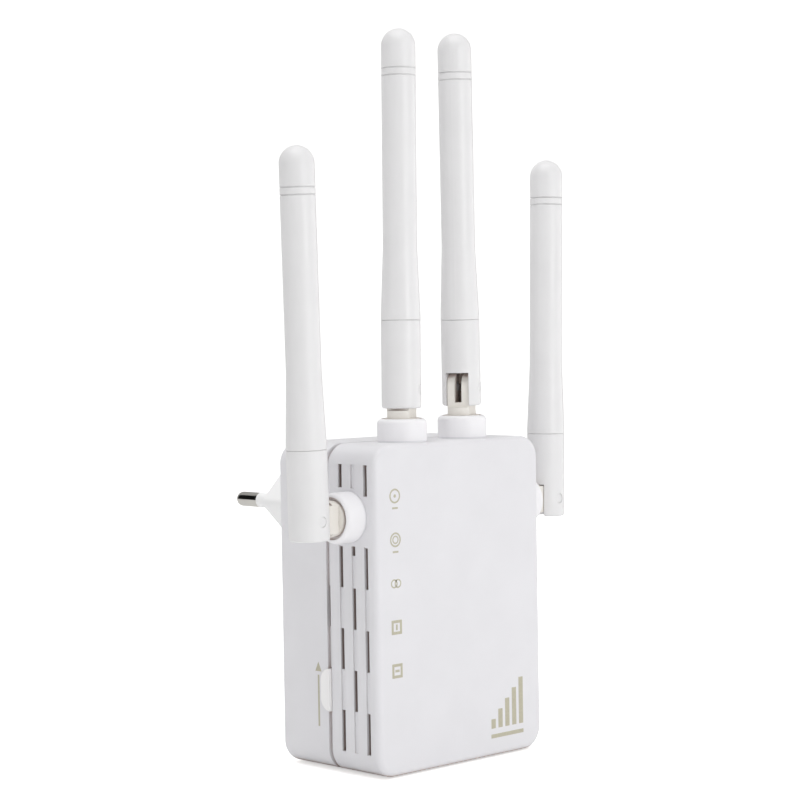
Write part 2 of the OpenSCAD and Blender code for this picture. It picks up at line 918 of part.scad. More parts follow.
module main_board() {
    color(board_color) in_housing() difference() {
        box_at(0, main_y + fit_gap, main_low_z, [main_w, board_t, main_high_z - main_low_z]);
        for (side = [-1, 1]) {
            box_at(side * main_w / 2, main_y - 1, main_low_z - 1,
                [2 * main_notch, board_t + 2, main_notch + 2]);
            bar_y(side * main_boss_x, main_y - 1, main_boss_low_z, screw_hole_r, board_t + 2);
            bar_y(side * main_boss_high_x, main_y - 1, main_boss_high_z, screw_hole_r, board_t + 2);
        }
    }
}

module main_chips() {
    color(dark_color) in_housing() {
        for (part = [radio_chip, memory_chip, regulator]) {
            chip_on(main_y, part);
        }
        for (part = port_transformers) {
            box_at(part[0], main_rear_y + part_gap, part[1], part[2]);
        }
    }
}

module shield_can() {
    color(metal_color) in_housing() difference() {
        box_at(chip_x, main_y - can_t - part_gap, chip_z - can_h / 2, [can_w, can_t, can_h]);
        box_at(chip_x, main_y - can_t - part_gap + can_wall, chip_z - can_h / 2 + can_wall,
            [can_w - 2 * can_wall, can_t, can_h - 2 * can_wall]);
    }
}

module thermal_pad() {
    color(pad_color) in_housing()
        box_at(chip_x, main_y - can_t - part_gap - pad_t - fit_gap, chip_z - sink_w / 2 + 1,
            [sink_w - 2, pad_t, sink_w - 2]);
}

module heat_sink() {
    back_y = main_y - can_t - part_gap - pad_t - 2 * fit_gap;
    color(sink_color) in_housing() difference() {
        box_at(chip_x, back_y - sink_t, chip_z - sink_w / 2, [sink_w, sink_t, sink_w]);
        for (i = [-2:2]) {
            box_at(chip_x + i * fin_pitch, back_y - sink_t - 1, chip_z - sink_w / 2 - 1,
                [fin_gap, sink_t - sink_base + 1, sink_w + 2]);
        }
    }
}

module coax_sockets() {
    front_y = main_y - socket_h - part_gap;
    color(brass_color) in_housing() for (spot = sockets) {
        difference() {
            bar_y(spot[0], front_y, spot[1], socket_r, socket_h);
            bar_y(spot[0], front_y - 1, spot[1], socket_bore_r, socket_bore + 1);
        }
    }
}

// Height of one indicator, the top one first
function indicator_z(i) = indicator_top - i * indicator_pitch;

module leds() {
    color(led_color) in_housing() for (i = [0:4]) {
        box_at(-indicator_x, main_y - led_t, indicator_z(i) - led_w / 2, [led_w, led_t, led_w]);
    }
}

module light_guide() {
    pipe_len = main_y - led_t - pipe_rear_gap - pipe_y;
    color(clear_color) in_housing() {
        for (i = [0:4]) {
            box_at(-indicator_x, pipe_y, indicator_z(i) - pipe_w / 2, [pipe_w, pipe_len, pipe_w]);
        }
        box_at(-indicator_x, guide_bar_y, indicator_z(4), [pipe_w, guide_bar_t, 4 * indicator_pitch]);
    }
}

// Moulded jack with a stepped opening for the plug and its latch
module jack(x) {
    jack_y = main_y - jack_t;
    cut_h = jack_depth + jack_low_z + 1;
    difference() {
        box_at(x, jack_y, jack_low_z, [jack_w, jack_t - fit_gap, jack_len]);
        box_at(x, jack_y + opening_y, -1, [opening_w, opening_t, cut_h]);
        box_at(x, jack_y + latch_y, -1, [latch_w, latch_t, cut_h]);
        box_at(x, jack_y + latch_tip_y, -1, [latch_tip_w, latch_t, cut_h]);
        for (i = [0:7]) {
            box_at(contact_x(x, i), jack_y + opening_y + opening_t - 1, comb_z,
                [comb_w, comb_depth + 1, comb_len]);
        }
    }
}

// Middle of one of a jack's eight contacts
function contact_x(x, i) = x + (i - 3.5) * contact_pitch;

module lan_jack() {
    color(jack_color) in_housing() jack(-port_pitch / 2);
}

module wan_jack() {
    color(jack_color) in_housing() jack(port_pitch / 2);
}

// Eight sprung contact leaves in each jack, bent into the opening
module jack_contacts() {
    seat_y = main_y - jack_t + opening_y + opening_t;
    root = [seat_y + 0.2, comb_z + 0.6];
    knee = [seat_y - 2.6, comb_z + 7.5];
    tail = [seat_y + 0.1, comb_z + comb_len - 0.8];
    back = [contact_t, 0];
    color(brass_color) in_housing() for (side = [-1, 1], i = [0:7]) {
        translate([contact_x(side * port_pitch / 2, i) - contact_w / 2, 0, 0]) rotate([90, 0, 90])
            linear_extrude(contact_w)
                polygon([root, knee, tail, tail + back, knee + back, root + back]);
    }
}

module board_screws() {
    color(metal_color) in_housing() {
        for (side = [-1, 1]) {
            screw_y(side * main_boss_x, main_rear_y + 2 * fit_gap, main_boss_low_z, board_screw_len);
            screw_y(side * main_boss_high_x, main_rear_y + 2 * fit_gap, main_boss_high_z, board_screw_len);
        }
        for (x = [-1, 1], z = [power_boss_low_z, power_boss_high_z]) {
            translate([0, power_y - fit_gap, 0]) mirror([0, 1, 0])
                screw_y(x * power_boss_x, 0, z, power_screw_len);
        }
    }
}

// ---------- side button ----------

module wps_button() {
    color(shell_color) in_housing() {
        button_prism(-half_w - button_out, button_back_x, 0);
        intersection() {
            button_prism(button_back_x - eps, button_back_x + flange_t, flange_grow);
            box_at(button_back_x, button_y, 0, [body_d, body_d, body_h]);
        }
        box_at((button_back_x + plunger_tip_x) / 2 - fit_gap / 2, switch_mid_y - stem_w / 2,
            button_z - stem_h / 2, [plunger_tip_x - button_back_x - fit_gap, stem_w, stem_h]);
    }
}

module switch_plunger() {
    color(dark_color) in_housing() translate([plunger_tip_x, switch_mid_y, button_z])
        rotate([0, 90, 0]) cylinder(r = plunger_r, h = plunger_len);
}

module tact_switch() {
    color(metal_color) in_housing() difference() {
        box_at((switch_front_x + switch_back_x) / 2, main_rear_y + part_gap, button_z - switch_w / 2,
            [switch_back_x - switch_front_x, switch_h, switch_w]);
        translate([switch_front_x - 1, switch_mid_y, button_z]) rotate([0, 90, 0])
            cylinder(r = plunger_r + running_gap, h = plunger_bore + 1);
    }
}

// ---------- antennas ----------

// Turning neck: a snap-in barrel below and the hinge tongue above
module knuckle(which) {
    color(neck_color) on_neck(which) difference() {
        union() {
            translate([0, tongue_t / 2, 0]) rotate([90, 0, 0])
                cylinder(r = tongue_r, h = tongue_t);
            translate([-tongue_r, -tongue_t / 2, shoulder_z])
                cube([2 * tongue_r, tongue_t, -shoulder_z]);
            intersection() {
                translate([0, 0, flat_end_z]) cylinder(r = neck_r, h = shoulder_z - flat_end_z);
                translate([-neck_d, -tongue_t / 2, flat_end_z - 1])
                    cube([2 * neck_d, tongue_t, shoulder_z - flat_end_z + 2]);
            }
            translate([0, 0, wall_inner_z - part_gap])
                cylinder(r = neck_r, h = flat_end_z - wall_inner_z + part_gap);
            translate([0, 0, wall_inner_z - part_gap - snap_h])
                cylinder(r1 = neck_r - 0.2, r2 = snap_r, h = snap_h);
        }
        translate([0, 0, wall_inner_z - snap_h - 1])
            cylinder(r = coax_bore_r, h = -wall_inner_z + snap_h + 1);
        translate([-snap_r - 1, -snap_slot / 2, wall_inner_z - snap_h - 1])
            cube([2 * snap_r + 2, snap_slot, snap_h + 5]);
        translate([-snap_r, -tongue_slot / 2, shoulder_z + 1.5])
            cube([2 * snap_r, tongue_slot, 3 * tongue_r]);
        translate([0, tongue_t, 0]) rotate([90, 0, 0])
            cylinder(r = hinge_pin_r + running_gap, h = 2 * tongue_t);
    }
}

module hinge_pins(which) {
    color(metal_color) on_antenna(which) for (side = [-1, 1]) {
        translate([0, side * (hinge_pin_in + hinge_pin_out) / 2, 0]) rotate([90, 0, 0])
            cylinder(r = hinge_pin_r, h = hinge_pin_out - hinge_pin_in, center = true);
    }
}

// Lower part of an antenna: the fork on the hinge and the socket for the tube
module sleeve(which) {
    sleeve_r = sleeve_d / 2;
    flat_r = sleeve_r - sleeve_edge;
    edge_z = sleeve_edge - sleeve_drop;
    color(shell_color) on_antenna(which) difference() {
        rotate_extrude() {
            translate([0, -sleeve_drop]) square([flat_r, sleeve_top + sleeve_drop]);
            translate([0, edge_z]) square([sleeve_r, sleeve_top - edge_z]);
            translate([flat_r, edge_z]) circle(sleeve_edge);
        }
        translate([-fork_back, -fork_gap, -2 * sleeve_drop])
            cube([fork_back + sleeve_d, 2 * fork_gap, 2 * sleeve_drop + fork_top]);
        translate([0, 0, fork_top - 1]) cylinder(r = feed_bore_r, h = sleeve_top);
        translate([0, 0, spigot_low - part_gap])
            cylinder(r = spigot_r + fit_gap, h = sleeve_top);
        translate([0, sleeve_d, 0]) rotate([90, 0, 0])
            cylinder(r = hinge_pin_r + fit_gap, h = 2 * sleeve_d);
    }
}

// Upper part of an antenna: a closed tube that flares to the sleeve
module tube(which) {
    tube_r = tube_d / 2;
    flare_r = sleeve_d / 2;
    color(shell_color) on_antenna(which) difference() {
        rotate_extrude() {
            polygon([
                [0, spigot_low], [spigot_r, spigot_low], [spigot_r, sleeve_top],
                [flare_r - joint_line, sleeve_top], [flare_r - joint_line, sleeve_top + joint_line],
                [flare_r, sleeve_top + joint_line], [flare_r, flare_low],
                [tube_r, flare_top], [tube_r, antenna_len - tube_r], [0, antenna_len - tube_r]
            ]);
            intersection() {
                translate([0, antenna_len - tube_r]) circle(tube_r);
                translate([0, antenna_len - tube_r]) square(tube_r);
            }
        }
        translate([0, 0, spigot_low - 1]) cylinder(r = spigot_r - spigot_wall, h = sleeve_top);
        translate([0, 0, sleeve_top - 1])
            cylinder(r = tube_r - tube_wall, h = antenna_len - tube_r - sleeve_top);
        for (z = [ring_low, ring_high]) {
            translate([0, 0, z]) difference() {
                cylinder(r = tube_d, h = ring_w, center = true);
                cylinder(r = tube_r - ring_depth, h = 2 * ring_w, center = true);
            }
        }
    }
}

// Dipole inside the tube: feed cable, brass sleeve and top wire
module radiator(which) {
    dipole_len = dipole_high - dipole_low;
    color(brass_color) on_antenna(which) {
        translate([0, 0, feed_low]) cylinder(r = feed_r, h = dipole_high - feed_low);
        difference() {
            translate([0, 0, dipole_low]) cylinder(r = dipole_r, h = dipole_len);
            translate([0, 0, dipole_low - dipole_cap])
                cylinder(r = dipole_r - dipole_wall, h = dipole_len);
        }
        translate([0, 0, dipole_high - dipole_cap / 2])
            cylinder(r = dipole_wire_r, h = dipole_top - dipole_high + dipole_cap / 2);
    }
}

// Cable from one neck, through its bore, to its socket on the main board
module pigtail(which) {
    out = which == LEFT ? [1, 0, 0] : which == RIGHT ? [-1, 0, 0] : [0, 0, -1];
    pivot = pivots[which];
    socket = sockets[which];
    start = pivot + out * cable_start;
    bend = pivot + out * (pivot_h + wall + snap_h + cable_clear);
    color(cable_color) in_housing()
        wire([start, bend, [socket[0], main_y - socket_h - cable_drop, socket[1]],
            [socket[0], main_y - socket_h - 2 * part_gap, socket[1]]], coax_r);
}

module pigtail_left() {
    pigtail(LEFT);
}

module pigtail_top_left() {
    pigtail(TOP_LEFT);
}

module pigtail_top_right() {
    pigtail(TOP_RIGHT);
}

module pigtail_right() {
    pigtail(RIGHT);
}

module knuckle_left() {
    knuckle(LEFT);
}

module knuckle_top_left() {
    knuckle(TOP_LEFT);
}

module knuckle_top_right() {
    knuckle(TOP_RIGHT);
}

module knuckle_right() {
    knuckle(RIGHT);
}

module hinge_pins_left() {
    hinge_pins(LEFT);
}

module hinge_pins_top_left() {
    hinge_pins(TOP_LEFT);
}

module hinge_pins_top_right() {
    hinge_pins(TOP_RIGHT);
}

module hinge_pins_right() {
    hinge_pins(RIGHT);
}

module sleeve_left() {
    sleeve(LEFT);
}

module sleeve_top_left() {
    sleeve(TOP_LEFT);
}

module sleeve_top_right() {
    sleeve(TOP_RIGHT);
}

module sleeve_right() {
    sleeve(RIGHT);
}

module tube_left() {
    tube(LEFT);
}

module tube_top_left() {
    tube(TOP_LEFT);
}

module tube_top_right() {
    tube(TOP_RIGHT);
}

module tube_right() {
    tube(RIGHT);
}

module radiator_left() {
    radiator(LEFT);
}

module radiator_top_left() {
    radiator(TOP_LEFT);
}

module radiator_top_right() {
    radiator(TOP_RIGHT);
}

module radiator_right() {
    radiator(RIGHT);
}

// ---------- the pieces ----------

front_shell();
rear_shell();
rating_label();
housing_screws();
plug_block();
plug_pins();
plug_sleeves();
contact_springs();
power_board();
transformer_core();
transformer_coil();
bulk_capacitors();
output_capacitors();
mains_fuse();
choke();
power_chips();
dc_connectors();
dc_wires();
main_board();
main_chips();
shield_can();
thermal_pad();
heat_sink();
coax_sockets();
leds();
light_guide();
lan_jack();
wan_jack();
jack_contacts();
board_screws();
wps_button();
switch_plunger();
tact_switch();
pigtail_left();
pigtail_top_left();
pigtail_top_right();
pigtail_right();
knuckle_left();
knuckle_top_left();
knuckle_top_right();
knuckle_right();
hinge_pins_left();
hinge_pins_top_left();
hinge_pins_top_right();
hinge_pins_right();
sleeve_left();
sleeve_top_left();
sleeve_top_right();
sleeve_right();
tube_left();
tube_top_left();
tube_top_right();
tube_right();
radiator_left();
radiator_top_left();
radiator_top_right();
radiator_right();
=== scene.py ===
import math

import bpy
from mathutils import Matrix, Vector


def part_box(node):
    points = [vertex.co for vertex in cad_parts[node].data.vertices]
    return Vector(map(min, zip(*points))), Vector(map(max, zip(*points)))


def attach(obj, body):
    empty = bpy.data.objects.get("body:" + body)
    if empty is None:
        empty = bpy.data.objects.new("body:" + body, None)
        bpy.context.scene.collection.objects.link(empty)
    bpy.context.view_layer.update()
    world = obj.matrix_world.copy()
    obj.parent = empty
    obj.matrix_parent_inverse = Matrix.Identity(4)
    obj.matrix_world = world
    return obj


# Sizes are metres in the row's frame: +Z up, the front faces -Y, the origin on the plug's end face.
MM = 0.001

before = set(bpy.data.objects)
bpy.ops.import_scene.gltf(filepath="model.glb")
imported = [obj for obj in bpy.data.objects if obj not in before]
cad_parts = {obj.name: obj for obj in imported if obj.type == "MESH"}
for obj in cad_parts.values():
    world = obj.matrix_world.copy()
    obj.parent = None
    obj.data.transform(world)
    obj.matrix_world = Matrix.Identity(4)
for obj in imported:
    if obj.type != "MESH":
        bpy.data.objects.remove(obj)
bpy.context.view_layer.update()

# Planes of the housing, read from the CAD nodes
front_lo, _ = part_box("front_shell")
rear_lo, rear_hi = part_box("rear_shell")
FRONT_Y = front_lo[1]
LEFT_X = rear_lo[0]
BOTTOM_Z = rear_lo[2]
BOX_LOW = (LEFT_X, FRONT_Y, BOTTOM_Z)
BOX_HALF = [(high - low) / 2 for low, high in zip(BOX_LOW, rear_hi)]
BOX_MIDDLE = [(high + low) / 2 for low, high in zip(BOX_LOW, rear_hi)]
CORNER = 6.7 * MM

# How deep the outer skin goes at the slots and at the rear rim before painted shade covers what lies
# deeper, and where a collar's painted light begins
SLOT_SKIN = 0.6 * MM
RIM_SKIN = 1.15 * MM
COLLAR_START = 0.5 * MM


def height(z_mm):
    """Height above the bottom of the box, as a Z in the row's frame."""
    return BOTTOM_Z + z_mm * MM


def depth(y_mm):
    """Distance behind the front face, as a Y in the row's frame."""
    return FRONT_Y + y_mm * MM


# ---------- materials ----------

# The middle range that most noise values fall in
NOISE_LOW = 0.3
NOISE_HIGH = 0.7

# Reach of the gap test for the painted gap shade, and the openness at which that painted shade starts and
# is full
GAP_REACH = 4 * MM
GAP_START = 0.42
GAP_FULL = 0.12

# Worn edges and rounded edges: their widths, and how much smoother wear makes them
WORN_EDGE = 0.6 * MM
METAL_EDGE = 0.3 * MM
FERRITE_EDGE = 0.4 * MM
SOFT_EDGE = 0.25 * MM
EDGE_POLISH = 0.12


class Look:
    """One procedural material, built node by node."""

    def __init__(self, name):
        self.material = bpy.data.materials.new(name)
        self.material.use_nodes = True
        tree = self.material.node_tree
        self.nodes = tree.nodes
        self.links = tree.links
        self.shader = self.nodes["Principled BSDF"]
        self.coordinates = self.nodes.new("ShaderNodeTexCoord")

    def link(self, source, target):
        self.links.new(source, target)

    def set(self, socket, value):
        self.shader.inputs[socket].default_value = value

    def noise(self, scale, detail=3.0, stretch=(1, 1, 1)):
        mapping = self.nodes.new("ShaderNodeMapping")
        mapping.inputs["Scale"].default_value = stretch
        self.link(self.coordinates.outputs["Object"], mapping.inputs["Vector"])
        noise = self.nodes.new("ShaderNodeTexNoise")
        noise.inputs["Scale"].default_value = scale
        noise.inputs["Detail"].default_value = detail
        self.link(mapping.outputs["Vector"], noise.inputs["Vector"])
        return noise.outputs["Fac"]

    def spread(self, value, low, high):
        """A 0-1 value stretched to low-high, with the noise's usual middle range used in full."""
        node = self.nodes.new("ShaderNodeMapRange")
        node.inputs["From Min"].default_value = NOISE_LOW
        node.inputs["From Max"].default_value = NOISE_HIGH
        node.inputs["To Min"].default_value = low
        node.inputs["To Max"].default_value = high
        self.link(value, node.inputs["Value"])
        return node.outputs["Result"]

    def mix(self, factor, first, second):
        """Colour mix: each colour is either an output or a tuple."""
        node = self.nodes.new("ShaderNodeMix")
        node.data_type = "RGBA"
        if hasattr(factor, "links"):
            self.link(factor, node.inputs[0])
        else:
            node.inputs[0].default_value = factor
        for index, colour in ((6, first), (7, second)):
            if hasattr(colour, "links"):
                self.link(colour, node.inputs[index])
            else:
                node.inputs[index].default_value = (*colour, 1)
        return node.outputs[2]

    def math(self, operation, first, second):
        node = self.nodes.new("ShaderNodeMath")
        node.operation = operation
        node.use_clamp = True
        for index, value in enumerate((first, second)):
            if hasattr(value, "links"):
                self.link(value, node.inputs[index])
            else:
                node.inputs[index].default_value = value
        return node.outputs[0]

    def edges(self, width, strength):
        """1 on sharp edges and corners, where handling wears the surface."""
        bevel = self.nodes.new("ShaderNodeBevel")
        bevel.samples = 4
        bevel.inputs["Radius"].default_value = width
        geometry = self.nodes.new("ShaderNodeNewGeometry")
        dot = self.nodes.new("ShaderNodeVectorMath")
        dot.operation = "DOT_PRODUCT"
        self.link(bevel.outputs["Normal"], dot.inputs[0])
        self.link(geometry.outputs["Normal"], dot.inputs[1])
        away = self.math("SUBTRACT", 1.0, dot.outputs["Value"])
        return self.math("MULTIPLY", away, strength)

    def painted_shade_mask(self, reach, start, end):
        """Mask for painted shade: 1 deep in narrow gaps and slots, 0 on open faces and in plain corners.
        """
        occlusion = self.nodes.new("ShaderNodeAmbientOcclusion")
        occlusion.samples = 8
        occlusion.inputs["Distance"].default_value = reach
        node = self.nodes.new("ShaderNodeMapRange")
        node.inputs["From Min"].default_value = start
        node.inputs["From Max"].default_value = end
        node.inputs["To Min"].default_value = 0.0
        node.inputs["To Max"].default_value = 1.0
        self.link(occlusion.outputs["AO"], node.inputs["Value"])
        return node.outputs["Result"]

    def behind_the_skin(self, thickness, corner=CORNER):
        """1 on faces deeper inside the housing than the thickness, 0 on its outer skin.

        The housing is taken as a box with every edge rounded by the corner radius."""
        middle = self.nodes.new("ShaderNodeVectorMath")
        middle.operation = "SUBTRACT"
        self.link(self.coordinates.outputs["Object"], middle.inputs[0])
        middle.inputs[1].default_value = BOX_MIDDLE
        across = self.nodes.new("ShaderNodeVectorMath")
        across.operation = "ABSOLUTE"
        self.link(middle.outputs["Vector"], across.inputs[0])
        beyond = self.nodes.new("ShaderNodeVectorMath")
        beyond.operation = "SUBTRACT"
        self.link(across.outputs["Vector"], beyond.inputs[0])
        beyond.inputs[1].default_value = [half - corner for half in BOX_HALF]
        outward = self.nodes.new("ShaderNodeVectorMath")
        outward.operation = "MAXIMUM"
        self.link(beyond.outputs["Vector"], outward.inputs[0])
        reach = self.nodes.new("ShaderNodeVectorMath")
        reach.operation = "LENGTH"
        self.link(outward.outputs["Vector"], reach.inputs[0])
        return self.math("LESS_THAN", reach.outputs["Value"], corner - thickness)

    def bump(self, heights, distance, soften=0.0):
        """Fine relief, with sharp edges rounded by the soften radius."""
        node = self.nodes.new("ShaderNodeBump")
        node.inputs["Distance"].default_value = distance
        self.link(heights, node.inputs["Height"])
        if soften:
            bevel = self.nodes.new("ShaderNodeBevel")
            bevel.samples = 4
            bevel.inputs["Radius"].default_value = soften
            self.link(bevel.outputs["Normal"], node.inputs["Normal"])
        self.link(node.outputs["Normal"], self.shader.inputs["Normal"])

    def colour(self, value):
        self.link(value, self.shader.inputs["Base Color"])

    def roughness(self, value):
        self.link(value, self.shader.inputs["Roughness"])


def shade(colour, amount):
    return tuple(min(1.0, c * amount) for c in colour)


def plastic(name, colour, rough, grain=2600, grain_height=0.000012, wear=0.5, painted_gap_shade=None,
            skin=None, painted_collars=False):
    """Moulded plastic: fine grain, faint mottling, handled edges.

    A gap colour paints shade into narrow gaps, a skin thickness paints shade over everything
    deeper inside the box, and the collar option paints light onto the rings that stand out from the box."""
    look = Look(name)
    mottling = look.spread(look.noise(90, 4), 0, 1)
    body = look.mix(mottling, shade(colour, 0.985), shade(colour, 1.01))
    edge = look.edges(WORN_EDGE, wear)
    surface = look.mix(edge, body, shade(colour, 1.04))
    if painted_collars:
        # Painted light: the collar rings get a lighter copy of the shell colour.
        surface = look.mix(look.behind_the_skin(-COLLAR_START, 0), COLLAR_PAINTED_LIGHT, surface)
    if painted_gap_shade:
        # Painted shade: narrow gaps and slots are darkened towards the gap colour.
        surface = look.mix(look.painted_shade_mask(GAP_REACH, GAP_START, GAP_FULL), surface, painted_gap_shade)
    if skin:
        # Painted shade: faces deeper inside the box than the skin are darkened towards the inside colour.
        surface = look.mix(look.behind_the_skin(skin), surface, INSIDE_PAINTED_SHADE)
    look.colour(surface)
    smudges = look.spread(look.noise(45, 5), rough - 0.05, rough + 0.06)
    look.roughness(look.math("SUBTRACT", smudges, look.math("MULTIPLY", edge, EDGE_POLISH)))
    look.bump(look.noise(grain, 2), grain_height, SOFT_EDGE)
    look.set("IOR", 1.5)
    return look.material


def metal(name, colour, rough, stretch=(1, 1, 1), scratch=1400, wear=0.6, cover=None, cover_part=0.0):
    """Plated or bright metal: fine scratches, uneven polish, worn edges.

    A cover hides the metal over the lower part of the piece, given as a share of its height."""
    look = Look(name)
    tarnish = look.spread(look.noise(160, 4), 0, 1)
    body = look.mix(tarnish, shade(colour, 0.93), colour)
    edge = look.edges(METAL_EDGE, wear)
    surface = look.mix(edge, body, shade(colour, 1.12))
    if cover:
        split = look.nodes.new("ShaderNodeSeparateXYZ")
        look.link(look.coordinates.outputs["Generated"], split.inputs["Vector"])
        bare = look.math("GREATER_THAN", split.outputs["Z"], cover_part)
        surface = look.mix(bare, cover, surface)
        look.link(bare, look.shader.inputs["Metallic"])
    else:
        look.set("Metallic", 1.0)
    look.colour(surface)
    look.roughness(look.spread(look.noise(scratch, 3, stretch), rough * 0.7, rough * 1.4))
    look.bump(look.noise(scratch, 3, stretch), 0.000006)
    return look.material


def circuit(name, colour):
    """Solder mask over copper tracks, with pads."""
    look = Look(name)
    mapping = look.nodes.new("ShaderNodeMapping")
    mapping.inputs["Rotation"].default_value = (math.radians(90), 0, 0)
    look.link(look.coordinates.outputs["Object"], mapping.inputs["Vector"])
    tracks = look.nodes.new("ShaderNodeTexBrick")
    tracks.inputs["Scale"].default_value = 260
    tracks.inputs["Mortar Size"].default_value = 0.03
    look.link(mapping.outputs["Vector"], tracks.inputs["Vector"])
    pads = look.nodes.new("ShaderNodeTexVoronoi")
    pads.inputs["Scale"].default_value = 420
    look.link(mapping.outputs["Vector"], pads.inputs["Vector"])
    pad = look.math("LESS_THAN", pads.outputs["Distance"], 0.16)
    mask = look.mix(tracks.outputs["Fac"], colour, shade(colour, 1.6))
    look.colour(look.mix(pad, mask, (0.75, 0.72, 0.6)))
    look.roughness(look.spread(look.noise(500, 3), 0.25, 0.4))
    look.bump(look.math("ADD", tracks.outputs["Fac"], pad), 0.00003)
    return look.material


def ferrite(name, colour):
    """Dark pressed ceramic or moulded epoxy, speckled and slightly chipped."""
    look = Look(name)
    specks = look.spread(look.noise(3200, 4), 0, 1)
    edge = look.edges(FERRITE_EDGE, 0.8)
    body = look.mix(specks, shade(colour, 0.7), shade(colour, 1.5))
    look.colour(look.mix(edge, body, shade(colour, 2.4)))
    look.roughness(look.spread(look.noise(700, 4), 0.4, 0.65))
    look.bump(look.noise(3200, 4), 0.00002)
    return look.material


def wound_tape(name, colour):
    """Layers of polyester tape, seen as fine bands."""
    look = Look(name)
    bands = look.nodes.new("ShaderNodeTexWave")
    bands.inputs["Scale"].default_value = 330
    bands.inputs["Distortion"].default_value = 1.5
    look.link(look.coordinates.outputs["Object"], bands.inputs["Vector"])
    look.colour(look.mix(bands.outputs["Fac"], shade(colour, 0.8), shade(colour, 1.1)))
    look.roughness(look.spread(look.noise(600, 3), 0.2, 0.4))
    look.bump(bands.outputs["Fac"], 0.00004)
    return look.material


def clear(name):
    """Moulded clear acrylic with a faintly uneven surface."""
    look = Look(name)
    look.colour(look.mix(look.spread(look.noise(200, 3), 0, 1), (0.86, 0.9, 0.92), (0.94, 0.96, 0.97)))
    look.roughness(look.spread(look.noise(900, 3), 0.05, 0.15))
    look.bump(look.noise(400, 2), 0.000015)
    look.set("Transmission Weight", 0.85)
    look.set("IOR", 1.49)
    return look.material


def ink(name, colour):
    """Pad-printed ink: slightly uneven cover."""
    look = Look(name)
    look.colour(look.mix(look.spread(look.noise(1500, 3), 0, 1), shade(colour, 0.94), shade(colour, 1.05)))
    look.roughness(look.spread(look.noise(2500, 3), 0.45, 0.65))
    look.bump(look.noise(3000, 2), 0.000008)
    return look.material


SHELL_WHITE = (0.768, 0.762, 0.786)
# Painted light: a lighter copy of the shell colour, for the collar rings.
COLLAR_PAINTED_LIGHT = (0.88, 0.872, 0.89)
ANTENNA_WHITE = (0.79, 0.785, 0.79)
BUTTON_WHITE = (0.92, 0.91, 0.91)
NECK_WHITE = (0.84, 0.81, 0.76)
PLUG_WHITE = (0.89, 0.89, 0.89)
# Painted shade: the next three colours are painted into narrow gaps, into the fork's slot and sleeve
# joint, and over the inside of the box.
GAP_PAINTED_SHADE = (0.55, 0.45, 0.41)
FORK_PAINTED_SHADE = (0.74, 0.71, 0.69)
INSIDE_PAINTED_SHADE = (0.36, 0.29, 0.27)
CABLE_GREY = (0.2, 0.16, 0.14)

# The shells, fork and neck get painted shade in their gaps, the shells painted shade over their inside,
# and the front shell painted light on its collar rings.
looks = {
    "front_half": plastic("front_shell_plastic", SHELL_WHITE, 0.42, painted_gap_shade=GAP_PAINTED_SHADE,
                          skin=SLOT_SKIN, painted_collars=True),
    "rear_half": plastic("rear_shell_plastic", SHELL_WHITE, 0.42, painted_gap_shade=GAP_PAINTED_SHADE, skin=RIM_SKIN),
    "antenna": plastic("antenna_plastic", ANTENNA_WHITE, 0.36, grain=3200, grain_height=0.000008),
    "fork": plastic("fork_plastic", ANTENNA_WHITE, 0.36, grain=3200, grain_height=0.000008,
                    painted_gap_shade=FORK_PAINTED_SHADE),
    "neck": plastic("neck_nylon", NECK_WHITE, 0.45, grain=3600, painted_gap_shade=GAP_PAINTED_SHADE),
    "plug": plastic("plug_plastic", PLUG_WHITE, 0.38, grain=4000, grain_height=0.000006),
    "label": plastic("label_film", (0.72, 0.72, 0.73), 0.5, grain=6000, grain_height=0.000004, wear=0.2),
    "button": plastic("button_plastic", BUTTON_WHITE, 0.3, grain=4200, grain_height=0.000006),
    "nickel": metal("nickel_plate", (0.78, 0.77, 0.75), 0.12, stretch=(1, 0.08, 1)),
    "steel": metal("zinc_steel", (0.62, 0.62, 0.63), 0.3),
    "brass": metal("bright_brass", (0.78, 0.6, 0.3), 0.25),
    "dipole": metal("dipole_brass", (0.78, 0.6, 0.3), 0.25, cover=CABLE_GREY, cover_part=0.3),
    "aluminium": metal("extruded_aluminium", (0.7, 0.71, 0.73), 0.32, stretch=(1, 1, 0.06)),
    "board": circuit("solder_mask", (0.03, 0.16, 0.07)),
    "dark": ferrite("dark_epoxy", (0.03, 0.03, 0.033)),
    "tape": wound_tape("winding_tape", (0.72, 0.55, 0.1)),
    "capacitor": plastic("capacitor_film", (0.04, 0.07, 0.2), 0.3, grain=5000, wear=0.8),
    "fuse": plastic("fuse_case", (0.08, 0.2, 0.12), 0.45, wear=0.6),
    "connector": plastic("connector_nylon", (0.8, 0.79, 0.74), 0.5),
    "wire": plastic("wire_cover", (0.5, 0.04, 0.04), 0.4, grain=5200),
    "cable": plastic("cable_cover", CABLE_GREY, 0.45, grain=5200),
    "pad": plastic("silicone_pad", (0.22, 0.4, 0.6), 0.7, grain=1500, grain_height=0.00003),
    "led": plastic("led_lens", (0.85, 0.83, 0.6), 0.2, grain=6000, wear=0.2),
    "jack": plastic("jack_plastic", (0.42, 0.43, 0.45), 0.5),
    "clear": clear("clear_acrylic"),
    "ink": ink("beige_ink", (0.50, 0.47, 0.36)),
}

